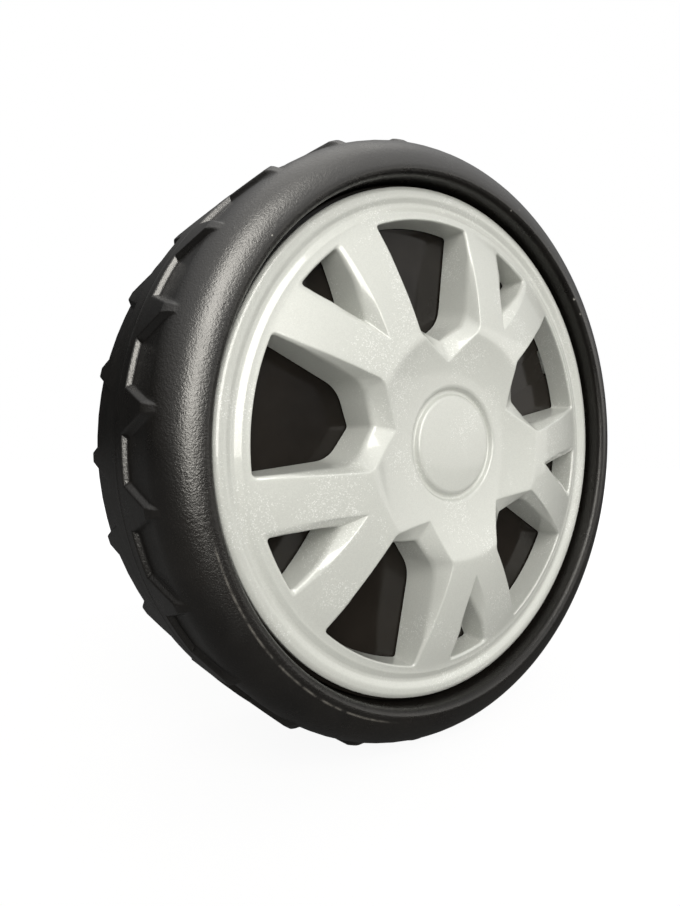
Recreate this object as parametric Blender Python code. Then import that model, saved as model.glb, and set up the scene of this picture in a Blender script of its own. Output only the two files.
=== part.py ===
"""Mower wheel, 180 mm: knobbly tyre on a moulded rim, silver snap-on hub cap, two shielded ball bearings.

Metres, +Z up. The wheel spins about Y, its hub cap faces -Y, and the origin is at the middle of the tyre.
Angles go clockwise from the top, as seen from the front.
"""
import bpy
import bmesh
from math import asin, atan2, cos, pi, radians, sin, sqrt
from mathutils import Vector

# General clearances
seat_gap = 0.0003            # between a piece and what it is seated on
ball_gap = 0.0001            # between a ball and its races
overcut = 0.001              # how far a cutter runs past the face that it cuts

# Tyre
tread_radius = 0.090         # over the lugs and the centre rib
tyre_width = 0.060           # over both sidewalls
section_height = 0.0140      # from the rim's flange to the tread
lugs_per_row = 24
lug_height = 0.0015
lug_top_width = 0.0104       # along the rib
lug_flank_width = 0.0016     # one drafted flank, seen from above
lug_point_width = 0.0022     # across the blunt point, at the top
lug_top_reach = tyre_width / 2 - 0.0105     # from the middle of the tread to the point's top
lug_point_height = 0.0014    # of the point's top above the carcass
lug_foot_reach = tyre_width / 2 - 0.0064    # and to the point's foot, on the shoulder
rib_width = 0.0134
rib_wall_run = 0.0006        # draft of the rib's side walls
lip_radius = 0.0020          # round inner edge of the sidewall
shoulder_radius = section_height - lug_height - lip_radius    # section radius of the round sidewall
first_lug_angle = radians(4.59)

# Bearings, 12 x 28 x 8
bore_radius = 0.0060
bearing_radius = 0.0140
pitch_radius = (bore_radius + bearing_radius) / 2
ball_radius = 0.002381
ball_count = 9
ball_side_room = 0.000519    # between a ball and the shields' seats
land_offset = 0.0014         # of the races' lands from the pitch circle
inner_land_radius = pitch_radius - land_offset
outer_land_radius = pitch_radius + land_offset
shield_seat_radius = (outer_land_radius + bearing_radius) / 2
shield_seat_depth = 0.0011
shield_thickness = 0.0004
bearing_width = 2 * (ball_radius + ball_side_room + shield_seat_depth)
cage_thickness = 0.0016
cage_width = 0.0054
pocket_clearance = 0.00017

# Spacer sleeve
sleeve_radius = inner_land_radius - 0.0003
sleeve_bore = bore_radius + 0.0002

# Rim
flange_radius = tread_radius - section_height
flange_height = 0.0050
flange_thickness = 0.0025
seat_radius = flange_radius - flange_height     # the tyre's seat on the barrel
channel_width = tyre_width - 0.0200             # between the flanges
key_height = 0.0025          # rib round the barrel that keys into the tyre
key_width = 0.0060
barrel_wall = 0.0030
web_front = channel_width / 2 - 0.0027          # the web's front face lies this far before the middle
web_thickness = 0.0030
hub_radius = bearing_radius + 0.0045
hub_front = channel_width / 2
hub_rear = channel_width / 2 + 0.0035
rib_count = 12
rib_thickness = 0.0024
rib_outer_rear = channel_width / 2 - 0.0100     # how far back the ribs reach at the barrel
rib_inner_rear = channel_width / 2 - 0.0010     # and at the hub
bearing_shoulder_radius = bearing_radius - 0.0016
front_recess = 0.0030        # the front bearing stands this far inside the hub's end
rear_recess = 0.0005

# Hub cap
cap_edge_gap = 0.0012        # the cap's edge lies this far inside the flange's
cap_radius = flange_radius - cap_edge_gap
cap_face = channel_width / 2 + 0.0050           # the ring's face lies this far before the middle
cap_wall = 0.0022
cap_foot_gap = 0.0005        # between the window walls and the web
spoke_count = 5
first_small_window = radians(26.24)
window_radius = cap_radius - 0.0092             # outer edge of every window
ridge_radius = window_radius + 0.0012
valley_radius = window_radius + 0.0040
bead_radius = window_radius + 0.0066
disc_radius = 0.0146
groove_radius = disc_radius + 0.0025
large_tip_radius = groove_radius + 0.0072
crest_radius = large_tip_radius + 0.0092        # highest line of the spokes, where trunk meets arms
small_tip_radius = crest_radius + 0.0060
crest_rise = 0.00785         # above the ring's face
tip_rise = 0.0053            # face height at the large windows' inner tips
disc_rise = 0.0046
disc_crown = 0.0004          # the disc's middle stands this far above its edge
groove_depth = 0.0010
groove_wall = 0.0007         # run of the groove's sloped sides
arm_curve = 1.6              # exponent of the arms' fall from the crest to the ring
ring_rise = 0.0004
valley_depth = 0.0001
cap_edge_land = 0.0009       # from the bead's outer edge to the cap's
cap_edge_drop = 0.0005
bevel_rise = 0.0030          # the bevels round the windows end at this height
bevel_drop = 0.0006          # and at least this far under the face
window_draft = 0.0003        # by which a window's outer edge draws in at its bevel, and again at its foot
# A window's corners, from its outer edge to its inner tip. Each is its share of the way from the tip to the
# window radius, and its angle from the window's middle in degrees.
large_half_angles = (15.9, 15.5, 15.1)
large_face_corners = ((0.525, 18.9), (0.320, 20.0), (0.254, 20.3), (0.182, 17.0), (0.0, 0.0))
large_bevel_corners = ((0.574, 17.1), (0.392, 17.3), (0.312, 16.4), (0.247, 12.5), (0.1525, 0.0))
large_foot_corners = ((0.598, 15.6), (0.424, 15.6), (0.337, 14.2), (0.264, 10.5), (0.177, 0.0))
small_half_angles = (7.97, 7.3, 6.6)
small_face_corners = ((0.479, 5.0), (0.0, 0.0))
small_bevel_corners = ((0.556, 3.8), (0.249, 0.0))
small_foot_corners = ((0.575, 3.0), (0.326, 0.0))
skirt_gap = 0.0004           # between the skirt and the barrel
skirt_thickness = 0.0018     # locating ring that drops inside the barrel
hook_count = 3
first_hook = radians(62.24)
hook_width = 0.0090
hook_thickness = 0.0015
hook_lip = 0.0006            # catches behind the web
hook_lip_length = 0.0020
slot_clearance = 0.0003
hook_flex = 0.0012           # room in the slot for the hook to bend inwards
cap_socket_wall = 0.0018

# Facets
ring_segments = 50
rim_segments = 48
bearing_segments = 24

floor_radius = tread_radius - lug_height
shoulder_centre = tyre_width / 2 - shoulder_radius
crest_line = floor_radius - shoulder_radius


def clear_scene():
    for item in list(bpy.data.objects):
        bpy.data.objects.remove(item, do_unlink=True)


def material(name, colour, roughness, metallic=0.0):
    mat = bpy.data.materials.new(name)
    mat.use_nodes = True
    shader = mat.node_tree.nodes["Principled BSDF"]
    shader.inputs["Base Color"].default_value = (*colour, 1.0)
    shader.inputs["Roughness"].default_value = roughness
    shader.inputs["Metallic"].default_value = metallic
    return mat


def add_object(name, bm, mat=None, smooth_angle=30.0):
    bmesh.ops.recalc_face_normals(bm, faces=bm.faces)
    mesh = bpy.data.meshes.new(name)
    bm.to_mesh(mesh)
    bm.free()
    item = bpy.data.objects.new(name, mesh)
    bpy.context.collection.objects.link(item)
    if mat:
        mesh.materials.append(mat)
        mesh.shade_smooth()
        mesh.set_sharp_from_angle(angle=radians(smooth_angle))
    return item


def hide_cutter(item):
    item.hide_render = True
    item.display_type = "WIRE"
    return item


def combine(target, tool, operation, solver="EXACT"):
    step = target.modifiers.new(tool.name, "BOOLEAN")
    step.operation = operation
    step.solver = solver
    step.object = tool


def around(radius, angle, y):
    """A point at an angle clockwise from the top, seen from the front."""
    return Vector((radius * sin(angle), y, radius * cos(angle)))


def add_turned(bm, profile, segments, phase=0.0):
    """Spins a closed profile of (radius, y) points once round the Y axis."""
    points = [bm.verts.new(around(radius, phase, y)) for radius, y in profile]
    pairs = list(zip(points, points[1:] + points[:1]))
    edges = [bm.edges.new(pair) for pair in pairs]
    bmesh.ops.spin(bm, geom=points + edges, cent=(0, 0, 0), axis=(0, 1, 0),
                   angle=2 * pi, steps=segments, use_merge=True)
    bmesh.ops.remove_doubles(bm, verts=bm.verts, dist=1e-7)
    on_axis = [edge for edge in bm.edges if not edge.link_faces]
    bmesh.ops.delete(bm, geom=on_axis, context="EDGES")


def turned(name, profile, segments, mat=None, phase=0.0):
    bm = bmesh.new()
    add_turned(bm, profile, segments, phase)
    return add_object(name, bm, mat)


def loft(bm, loops):
    """Closes a stack of outlines with equal numbers of points into one solid."""
    rings = [[bm.verts.new(point) for point in loop] for loop in loops]
    count = len(rings[0])
    for lower, upper in zip(rings, rings[1:]):
        for i in range(count):
            j = (i + 1) % count
            bm.faces.new((lower[i], lower[j], upper[j], upper[i]))
    bm.faces.new(rings[0])
    bm.faces.new(list(reversed(rings[-1])))


# Tyre

def sidewall_radius(reach):
    """Radius of the bare carcass at a distance from the middle of the tread."""
    past = max(0.0, reach - shoulder_centre)
    return crest_line + sqrt(shoulder_radius ** 2 - past ** 2)


def lug_stations():
    """Rows across one half of the tread: reach, top and foot radius, half widths of top and foot."""
    rib = rib_width / 2
    half_top = lug_top_width / 2
    half_point = lug_point_width / 2
    rows = [(rib, tread_radius, tread_radius, half_top, half_top + lug_flank_width)]
    top_end = sidewall_radius(lug_top_reach) + lug_point_height
    start = rib + rib_wall_run
    for part in (0.0, 0.5, 1.0):
        reach = start + (lug_top_reach - start) * part
        top = tread_radius + (top_end - tread_radius) * part ** 2
        half = half_top + (half_point - half_top) * part
        rows.append((reach, top, sidewall_radius(reach), half, half + lug_flank_width))
    foot = sidewall_radius(lug_foot_reach)
    rows.append((lug_foot_reach, foot, foot, half_point / 2, half_point / 2 + lug_flank_width / 2))
    return rows


def tyre_side(side):
    """Rows of (angle, radius, y) from the rib's edge round the sidewall to the seat."""
    pitch = 2 * pi / lugs_per_row
    middle = first_lug_angle if side < 0 else first_lug_angle + pitch / 2
    tread = []
    for reach, top, foot, half_top, half_foot in lug_stations():
        row = []
        for k in range(lugs_per_row):
            centre = middle + k * pitch
            row += [(centre - half_foot / tread_radius, foot, side * reach),
                    (centre - half_top / tread_radius, top, side * reach),
                    (centre + half_top / tread_radius, top, side * reach),
                    (centre + half_foot / tread_radius, foot, side * reach)]
        tread.append(row)
    start = asin((lug_foot_reach - shoulder_centre) / shoulder_radius)
    steps = 4
    profile = []
    for i in range(1, steps + 1):
        turn = start + (pi / 2 - start) * i / steps
        profile.append((crest_line + shoulder_radius * cos(turn),
                        shoulder_centre + shoulder_radius * sin(turn)))
    lip_wall = flange_radius + seat_gap
    lip_top = tyre_width / 2
    lip_centre = lip_top - lip_radius
    for turn in (30, 60, 90):
        profile.append((lip_wall + lip_radius - lip_radius * sin(radians(turn)),
                        lip_centre + lip_radius * cos(radians(turn))))
    profile.append((lip_wall, channel_width / 2 - seat_gap))
    wall = [[(middle + k * pitch / 2, radius, side * reach) for k in range(2 * lugs_per_row)]
            for radius, reach in profile]
    return tread, wall


def build_tyre(mat):
    bm = bmesh.new()
    front_tread, front_wall = tyre_side(-1)
    rear_tread, rear_wall = tyre_side(1)
    pitch = 2 * pi / lugs_per_row
    tread_columns = 4 * lugs_per_row
    wall_columns = 2 * lugs_per_row

    def ring(row):
        return [bm.verts.new(around(radius, angle, y)) for angle, radius, y in row]

    def stitch(first, second, shift=0):
        count = len(first)
        for i in range(count):
            j = (i + 1) % count
            bm.faces.new((first[i], first[j], second[(j + shift) % count], second[(i + shift) % count]))

    def gather(tread_ring, wall_ring):
        for k in range(lugs_per_row):
            near_top, far_top, far_foot = tread_ring[4 * k + 1:4 * k + 4]
            next_foot, next_top = (tread_ring[(4 * k + i) % tread_columns] for i in (4, 5))
            under_lug, under_gap = wall_ring[2 * k:2 * k + 2]
            under_next = wall_ring[(2 * k + 2) % wall_columns]
            bm.faces.new((near_top, far_top, under_lug))
            bm.faces.new((far_top, far_foot, under_gap, under_lug))
            bm.faces.new((far_foot, next_foot, under_gap))
            bm.faces.new((next_foot, next_top, under_next, under_gap))

    front_rings = [ring(row) for row in front_tread]
    rear_rings = [ring(row) for row in rear_tread]
    for rings in (front_rings, rear_rings):
        for first, second in zip(rings, rings[1:]):
            stitch(first, second)
    # A front lug's far edge faces the next rear lug's near edge, two columns on.
    stitch(front_rings[0], rear_rings[0], shift=-2)

    front_walls = [ring(row) for row in front_wall]
    rear_walls = [ring(row) for row in rear_wall]
    gather(front_rings[-1], front_walls[0])
    gather(rear_rings[-1], rear_walls[0])
    for rings in (front_walls, rear_walls):
        for first, second in zip(rings, rings[1:]):
            stitch(first, second)

    half_channel = channel_width / 2 - seat_gap
    bore = seat_radius + seat_gap
    key_top = seat_radius + key_height + seat_gap
    half_key = key_width / 2 + seat_gap
    seat = [(bore, -half_channel), (bore, -half_key), (key_top, -half_key),
            (key_top, half_key), (bore, half_key), (bore, half_channel)]
    angles = [first_lug_angle + k * pitch / 2 for k in range(wall_columns)]
    seat_rings = [ring([(angle, radius, y) for angle in angles]) for radius, y in seat]
    stitch(front_walls[-1], seat_rings[0])
    for first, second in zip(seat_rings, seat_rings[1:]):
        stitch(first, second)
    # The rear row is half a pitch on, which is one of these columns.
    stitch(seat_rings[-1], rear_walls[-1], shift=-1)
    return add_object("tyre", bm, mat, smooth_angle=25.0)


# Rim

def rim_profile():
    half = channel_width / 2
    side = half + flange_thickness
    barrel_bore = seat_radius - barrel_wall
    web_rear = -web_front + web_thickness
    bearing_seat = bearing_radius + seat_gap
    front_shoulder = -hub_front + front_recess + bearing_width + seat_gap
    rear_shoulder = hub_rear - rear_recess - bearing_width - seat_gap
    outer = [(flange_radius, -side), (flange_radius, -half), (seat_radius, -half),
             (seat_radius, -key_width / 2), (seat_radius + key_height, -key_width / 2),
             (seat_radius + key_height, key_width / 2), (seat_radius, key_width / 2),
             (seat_radius, half), (flange_radius, half), (flange_radius, side)]
    inner = [(barrel_bore, side), (barrel_bore, web_rear), (hub_radius, web_rear), (hub_radius, hub_rear),
             (bearing_seat, hub_rear), (bearing_seat, rear_shoulder),
             (bearing_shoulder_radius, rear_shoulder),
             (bearing_shoulder_radius, front_shoulder), (bearing_seat, front_shoulder),
             (bearing_seat, -hub_front), (hub_radius, -hub_front), (hub_radius, -web_front),
             (barrel_bore, -web_front), (barrel_bore, -side)]
    return outer + inner


def build_rim(mat):
    rim = turned("rim", rim_profile(), rim_segments, mat)
    web_rear = -web_front + web_thickness
    inner = (hub_radius + bearing_radius + seat_gap) / 2
    outer = seat_radius - barrel_wall / 2
    sunk = web_rear - web_thickness / 2
    bm = bmesh.new()
    for k in range(rib_count):
        angle = first_hook + 2 * pi * (k + 0.5) / rib_count
        along = around(1.0, angle, 0.0)
        across = around(1.0, angle + pi / 2, 0.0) * rib_thickness / 2
        corners = [(inner, sunk), (outer, sunk), (outer, rib_outer_rear), (inner, rib_inner_rear)]
        loops = [[along * radius + Vector((0, y, 0)) + across * side for radius, y in corners]
                 for side in (-1, 1)]
        loft(bm, loops)
    ribs = hide_cutter(add_object("rim_ribs", bm))
    combine(rim, ribs, "UNION")

    bm = bmesh.new()
    for k in range(hook_count):
        angle = first_hook + 2 * pi * k / hook_count
        loft(bm, hook_block(angle, hook_flex, slot_clearance, hook_width + 2 * slot_clearance,
                            -web_front - overcut, web_rear + overcut))
    slots = hide_cutter(add_object("rim_slots", bm))
    combine(rim, slots, "DIFFERENCE")
    return rim


# Hub cap

skirt_radius = seat_radius - barrel_wall - skirt_gap
hook_radius = skirt_radius - hook_lip


def hook_block(angle, inward, outward, width, front, rear):
    """Two outlines of a hook or its slot, standing on the hook circle at an angle."""
    along = around(1.0, angle, 0.0)
    across = around(1.0, angle + pi / 2, 0.0) * width / 2
    low = hook_radius - hook_thickness - inward
    high = hook_radius + outward
    return [[along * radius + across * side + Vector((0, y, 0))
             for radius, side in ((low, -1), (high, -1), (high, 1), (low, 1))] for y in (front, rear)]


def cap_height(radius):
    """Height of the spokes' face above the ring's face."""
    if radius <= crest_radius:
        stations = ((groove_radius, disc_rise - disc_crown), (large_tip_radius, tip_rise),
                    (crest_radius, crest_rise))
        for (r0, h0), (r1, h1) in zip(stations, stations[1:]):
            if radius <= r1:
                return h0 + (h1 - h0) * (radius - r0) / (r1 - r0)
    part = min(1.0, (radius - crest_radius) / (ridge_radius - crest_radius))
    return crest_rise + (ring_rise - crest_rise) * part ** arm_curve


def cap_profile():
    """The cap's outer form, from the middle of its disc round the edge to the back."""
    back = -web_front - cap_foot_gap
    rises = [(0.0, disc_rise), (disc_radius, disc_rise - disc_crown),
             (disc_radius + groove_wall, disc_rise - groove_depth),
             (groove_radius - groove_wall, disc_rise - groove_depth),
             (groove_radius, cap_height(groove_radius)), (large_tip_radius, tip_rise),
             (crest_radius, crest_rise)]
    arm_steps = 4
    for i in range(1, arm_steps):
        radius = crest_radius + (window_radius - crest_radius) * i / arm_steps
        rises.append((radius, cap_height(radius)))
    rises += [(window_radius, cap_height(window_radius)), (ridge_radius, ring_rise),
              (valley_radius, -valley_depth), (bead_radius, ring_rise),
              (cap_radius - cap_edge_land, ring_rise - valley_depth), (cap_radius, -cap_edge_drop)]
    front = [(radius, -cap_face - rise) for radius, rise in rises]
    rim_face = -channel_width / 2 - flange_thickness - seat_gap
    return front + [(cap_radius, rim_face), (skirt_radius, rim_face), (skirt_radius, back), (0.0, back)]


def outline(tip_radius, outer_radius, half_angle, corners, arc_steps, y_of):
    """A window: an arc along the ring, then its corners round to the tip and back."""
    half = radians(half_angle)
    points = [(outer_radius, half * (2 * i / arc_steps - 1)) for i in range(arc_steps + 1)]
    sides = [(tip_radius + part * (window_radius - tip_radius), radians(angle)) for part, angle in corners]
    points += sides
    points += [(radius, -angle) for radius, angle in reversed(sides) if angle > 0]
    return [(radius, angle, y_of(radius)) for radius, angle in points]


def window_loops(kind, grow):
    """The outlines of one window from above the face down through the back, grown by a wall."""
    face_depth = -cap_face - bevel_rise
    foot_depth = -web_front - cap_foot_gap + overcut
    if kind == "large":
        tip, arc_steps, half_angles = large_tip_radius, 6, large_half_angles
        corners = (large_face_corners, large_bevel_corners, large_foot_corners)
    else:
        tip, arc_steps, half_angles = small_tip_radius, 3, small_half_angles
        corners = (small_face_corners, small_bevel_corners, small_foot_corners)
    heights = (lambda radius: -cap_face - cap_height(radius),
               lambda radius: max(face_depth, -cap_face - cap_height(radius) + bevel_drop),
               lambda radius: foot_depth)
    loops = []
    for level in range(3):
        outer = window_radius - level * window_draft
        loops.append(outline(tip, outer, half_angles[level], corners[level], arc_steps, heights[level]))
    loops = [[around(radius, angle, y) for radius, angle, y in loop] for loop in loops]
    above = [point + (point - below) * overcut / (below.y - point.y)
             for point, below in zip(loops[0], loops[1])]
    top = [Vector((point.x, -cap_face - crest_rise - 2 * overcut, point.z)) for point in above]
    loops = [top, above] + loops
    if grow:
        loops = [grown(loop, grow) for loop in loops]
    return loops


def grown(loop, wall):
    """Moves an outline outwards and down by a wall's thickness."""
    count = len(loop)
    result = []
    for i, point in enumerate(loop):
        before = loop[i - 1]
        after = loop[(i + 1) % count]
        normals = []
        for start, end in ((before, point), (point, after)):
            edge = Vector((end.x - start.x, 0, end.z - start.z)).normalized()
            normals.append(Vector((-edge.z, 0, edge.x)))
        bisector = (normals[0] + normals[1]).normalized()
        length = wall / max(0.5, bisector.dot(normals[0]))
        result.append(point + bisector * length + Vector((0, wall, 0)))
    return result


def add_windows(bm, grow=0.0):
    for k in range(spoke_count):
        for kind, axis in (("small", first_small_window), ("large", first_small_window + pi / spoke_count)):
            turn = axis + 2 * pi * k / spoke_count
            loops = []
            for loop in window_loops(kind, grow):
                loops.append([Vector((p.x * cos(turn) + p.z * sin(turn), p.y,
                                      p.z * cos(turn) - p.x * sin(turn))) for p in loop])
            loft(bm, loops)


def build_cap(mat):
    cap = turned("hub_cap", cap_profile(), ring_segments, mat)

    bm = bmesh.new()
    add_windows(bm)
    windows = hide_cutter(add_object("cap_windows", bm))

    back = -web_front + overcut
    socket_radius = hub_radius + seat_gap
    socket_outer = socket_radius + cap_socket_wall
    skirt_inner = skirt_radius - skirt_thickness

    def under(radius):
        return (radius, -cap_face - cap_height(radius) + cap_wall)

    arms = [crest_radius + (skirt_inner - crest_radius) * i / 3 for i in range(1, 4)]
    hollow = [under(socket_outer), under(large_tip_radius), under(crest_radius)]
    hollow += [under(radius) for radius in arms]
    hollow += [(skirt_inner, back), (socket_outer, back)]
    bm = bmesh.new()
    add_turned(bm, hollow, ring_segments)
    space = hide_cutter(add_object("cap_hollow", bm))

    bm = bmesh.new()
    add_windows(bm, grow=cap_wall * 0.75)
    walls = hide_cutter(add_object("cap_window_walls", bm))
    combine(space, walls, "DIFFERENCE", "MANIFOLD")

    disc_back = -cap_face - disc_rise + groove_depth + cap_wall
    socket = hide_cutter(turned("cap_socket", [(0.0, disc_back), (socket_radius, disc_back),
                                               (socket_radius, back), (0.0, back)], ring_segments))
    bm = bmesh.new()
    web_rear = -web_front + web_thickness
    root = -channel_width / 2 - flange_thickness
    for k in range(hook_count):
        angle = first_hook + 2 * pi * k / hook_count
        loft(bm, hook_block(angle, 0.0, 0.0, hook_width, root, web_rear + hook_lip_length + seat_gap))
    hooks = hide_cutter(add_object("cap_hooks", bm))
    bm = bmesh.new()
    for k in range(hook_count):
        angle = first_hook + 2 * pi * k / hook_count
        loft(bm, hook_block(angle, -hook_thickness / 2, hook_lip, hook_width,
                            web_rear + seat_gap, web_rear + hook_lip_length))
    lips = hide_cutter(add_object("cap_hook_lips", bm))
    for tool in (space, socket, windows):
        combine(cap, tool, "DIFFERENCE", "MANIFOLD")
    for tool in (hooks, lips):
        combine(cap, tool, "UNION", "MANIFOLD")
    return cap


# Bearings

def build_bearing(prefix, middle, mats):
    """One shielded ball bearing whose middle plane is at y = middle."""
    half = bearing_width / 2
    groove = ball_radius + ball_gap

    def groove_arc(land, outwards):
        reach = sqrt(groove ** 2 - (pitch_radius - land) ** 2)
        limit = atan2(reach, abs(pitch_radius - land))
        turns = [limit * (i / 2 - 1) for i in range(5)]
        if outwards:
            # The flats of this ring stand clear of the balls, so it is drawn round their circle.
            flats = cos(pi / bearing_segments)
            return [((pitch_radius + groove * cos(t)) / flats, groove * sin(t)) for t in turns]
        return [(pitch_radius - groove * cos(t), groove * sin(t)) for t in turns]

    def place(profile):
        return [(radius, middle + y) for radius, y in profile]

    rebate = half - shield_seat_depth
    outer = [(bearing_radius, -half), (bearing_radius, half), (shield_seat_radius, half),
             (shield_seat_radius, rebate), (outer_land_radius, rebate)]
    outer += list(reversed(groove_arc(outer_land_radius, True)))
    outer += [(outer_land_radius, -rebate), (shield_seat_radius, -rebate), (shield_seat_radius, -half)]
    turned(prefix + "_outer_ring", place(outer), bearing_segments, mats["steel"])

    inner = [(bore_radius, -half), (inner_land_radius, -half)]
    inner += groove_arc(inner_land_radius, False)
    inner += [(inner_land_radius, half), (bore_radius, half)]
    turned(prefix + "_inner_ring", place(inner), bearing_segments, mats["steel"])

    shield_outer = shield_seat_radius - seat_gap
    shield_inner = inner_land_radius + seat_gap
    for side, word in ((-1, "front"), (1, "rear")):
        near = side * (rebate + seat_gap)
        far = near + side * shield_thickness
        ring = [(shield_inner, near), (shield_outer, near), (shield_outer, far), (shield_inner, far)]
        turned(prefix + "_" + word + "_shield", place(ring), bearing_segments, mats["shield"])

    cage_inner = pitch_radius - cage_thickness / 2
    cage_outer = pitch_radius + cage_thickness / 2
    cage_profile = [(cage_inner, -cage_width / 2), (cage_outer, -cage_width / 2),
                    (cage_outer, cage_width / 2), (cage_inner, cage_width / 2)]
    cage = turned(prefix + "_cage", place(cage_profile), 2 * ball_count, mats["cage"])
    pocket_sides = 10
    pocket_radius = (ball_radius + pocket_clearance) / cos(pi / pocket_sides)
    bm_pockets = bmesh.new()
    bm = bmesh.new()
    bmesh.ops.create_uvsphere(bm, u_segments=8, v_segments=6, radius=ball_radius)
    ball = add_object(prefix + "_ball_1", bm, mats["ball"]).data
    for k in range(ball_count):
        angle = 2 * pi * (k + 0.5) / ball_count
        along = around(1.0, angle, 0.0)
        across = around(1.0, angle + pi / 2, 0.0)
        centre = Vector((0, middle, 0))
        loops = []
        for radius in (cage_inner - overcut, cage_outer + overcut):
            loop = []
            for i in range(pocket_sides):
                turn = 2 * pi * (i + 0.5) / pocket_sides
                loop.append(centre + along * radius + across * pocket_radius * cos(turn)
                            + Vector((0, pocket_radius * sin(turn), 0)))
            loops.append(loop)
        loft(bm_pockets, loops)
        if k:
            item = bpy.data.objects.new(f"{prefix}_ball_{k + 1}", ball)
            bpy.context.collection.objects.link(item)
        else:
            item = bpy.data.objects[prefix + "_ball_1"]
        item.location = centre + along * pitch_radius
        item.parent = cage
    pockets = hide_cutter(add_object(prefix + "_pockets", bm_pockets))
    combine(cage, pockets, "DIFFERENCE")


def build_sleeve(front_face, rear_face, mat):
    near = front_face + seat_gap
    far = rear_face - seat_gap
    profile = [(sleeve_bore, near), (sleeve_radius, near), (sleeve_radius, far), (sleeve_bore, far)]
    turned("spacer_sleeve", profile, bearing_segments, mat)


def build_wheel():
    clear_scene()
    rubber = material("tyre rubber", (0.030, 0.028, 0.026), 0.62)
    black = material("rim plastic", (0.018, 0.016, 0.015), 0.35)
    silver = material("cap paint", (0.72, 0.72, 0.70), 0.34, 0.35)
    mats = {"steel": material("bearing steel", (0.62, 0.62, 0.63), 0.22, 1.0),
            "shield": material("shield steel", (0.55, 0.56, 0.57), 0.30, 1.0),
            "ball": material("ball steel", (0.75, 0.75, 0.76), 0.08, 1.0),
            "cage": material("cage nylon", (0.60, 0.55, 0.44), 0.45)}
    zinc = material("sleeve zinc", (0.66, 0.65, 0.60), 0.36, 1.0)

    build_tyre(rubber)
    build_rim(black)
    build_cap(silver)
    front_middle = -hub_front + front_recess + bearing_width / 2
    rear_middle = hub_rear - rear_recess - bearing_width / 2
    build_bearing("front_bearing", front_middle, mats)
    build_bearing("rear_bearing", rear_middle, mats)
    build_sleeve(front_middle + bearing_width / 2, rear_middle - bearing_width / 2, zinc)


build_wheel()
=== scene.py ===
from math import asin, cos, degrees, pi, radians, sin, sqrt

import bmesh
import bpy
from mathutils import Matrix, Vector
from mathutils.geometry import delaunay_2d_cdt


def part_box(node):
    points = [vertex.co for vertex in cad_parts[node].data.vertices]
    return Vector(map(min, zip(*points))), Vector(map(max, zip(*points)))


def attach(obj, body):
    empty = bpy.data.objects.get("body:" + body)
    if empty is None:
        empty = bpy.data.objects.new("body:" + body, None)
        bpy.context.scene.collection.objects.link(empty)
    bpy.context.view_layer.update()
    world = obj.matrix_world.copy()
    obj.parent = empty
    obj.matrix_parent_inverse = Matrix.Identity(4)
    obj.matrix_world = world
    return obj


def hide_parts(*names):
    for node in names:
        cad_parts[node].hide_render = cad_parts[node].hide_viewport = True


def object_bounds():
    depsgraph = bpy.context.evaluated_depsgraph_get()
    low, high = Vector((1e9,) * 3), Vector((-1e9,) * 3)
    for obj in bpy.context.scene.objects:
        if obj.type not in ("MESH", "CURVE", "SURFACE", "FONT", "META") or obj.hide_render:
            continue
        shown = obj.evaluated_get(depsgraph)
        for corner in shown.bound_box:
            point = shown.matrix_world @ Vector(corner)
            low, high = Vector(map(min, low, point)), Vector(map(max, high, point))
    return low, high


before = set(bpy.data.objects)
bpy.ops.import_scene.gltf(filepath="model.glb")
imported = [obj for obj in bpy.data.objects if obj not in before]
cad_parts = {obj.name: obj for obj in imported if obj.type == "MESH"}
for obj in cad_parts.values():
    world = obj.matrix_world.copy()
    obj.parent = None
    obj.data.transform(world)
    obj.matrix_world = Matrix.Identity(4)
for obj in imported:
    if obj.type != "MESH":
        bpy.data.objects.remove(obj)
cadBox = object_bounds()
print("frame loaded")

# A mower wheel. It spins about Y and its hub cap faces -Y.
# Angles go clockwise from the top, seen from the front.
mm = 0.001
weldGap = 2e-6  # points closer than this become one
plainCrease = 35.0  # degrees, edges that turn further are sharp
firstSmallWindow = radians(26.24)
firstLug = radians(4.59)
firstHook = radians(62.24)


# Shared helpers

def around(radius, angle, y):
    return Vector((radius * sin(angle), y, radius * cos(angle)))


def softStep(t, ease=0.3):  # 0 to 1 in a straight run with eased ends
    t = max(0.0, min(1.0, t))
    slope = 1 / (1 - ease)
    if t < ease:
        return slope * t * t / (2 * ease)
    if t > 1 - ease:
        return 1 - slope * (1 - t) ** 2 / (2 * ease)
    return slope * (t - ease / 2)


def bend(start, corner, end, steps):  # points after start on the curve that rounds a corner
    points = []
    for i in range(1, steps + 1):
        t = i / steps
        points.append(start * (1 - t) ** 2 + corner * 2 * t * (1 - t) + end * t * t)
    return points


def softProfile(corners, steps=4):  # corners are (radius, y, softness), closed
    points = []
    count = len(corners)
    for i, (radius, y, soft) in enumerate(corners):
        here = Vector((radius, y))
        before = Vector(corners[i - 1][:2])
        after = Vector(corners[(i + 1) % count][:2])
        if soft == 0:
            points.append(here)
            continue
        start = here + (before - here).normalized() * soft
        end = here + (after - here).normalized() * soft
        points += [start] + bend(start, here, end, steps)
    return [(p.x, p.y) for p in points]


def addStrips(bm, rows, closeRows=False):  # quads between rows with equal numbers of points
    made = [[bm.verts.new(p) for p in row] for row in rows]
    pairs = list(zip(made, made[1:]))
    if closeRows:
        pairs.append((made[-1], made[0]))
    for first, second in pairs:
        for i in range(len(first) - 1):
            bm.faces.new((first[i], first[i + 1], second[i + 1], second[i]))


def turnedMesh(bm, profile, steps, ring=True):  # a profile of (radius, y), spun round Y
    rows = []
    for radius, y in profile:
        rows.append([around(radius, 2 * pi * i / steps, y) for i in range(steps + 1)])
    addStrips(bm, rows, closeRows=ring)


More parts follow.
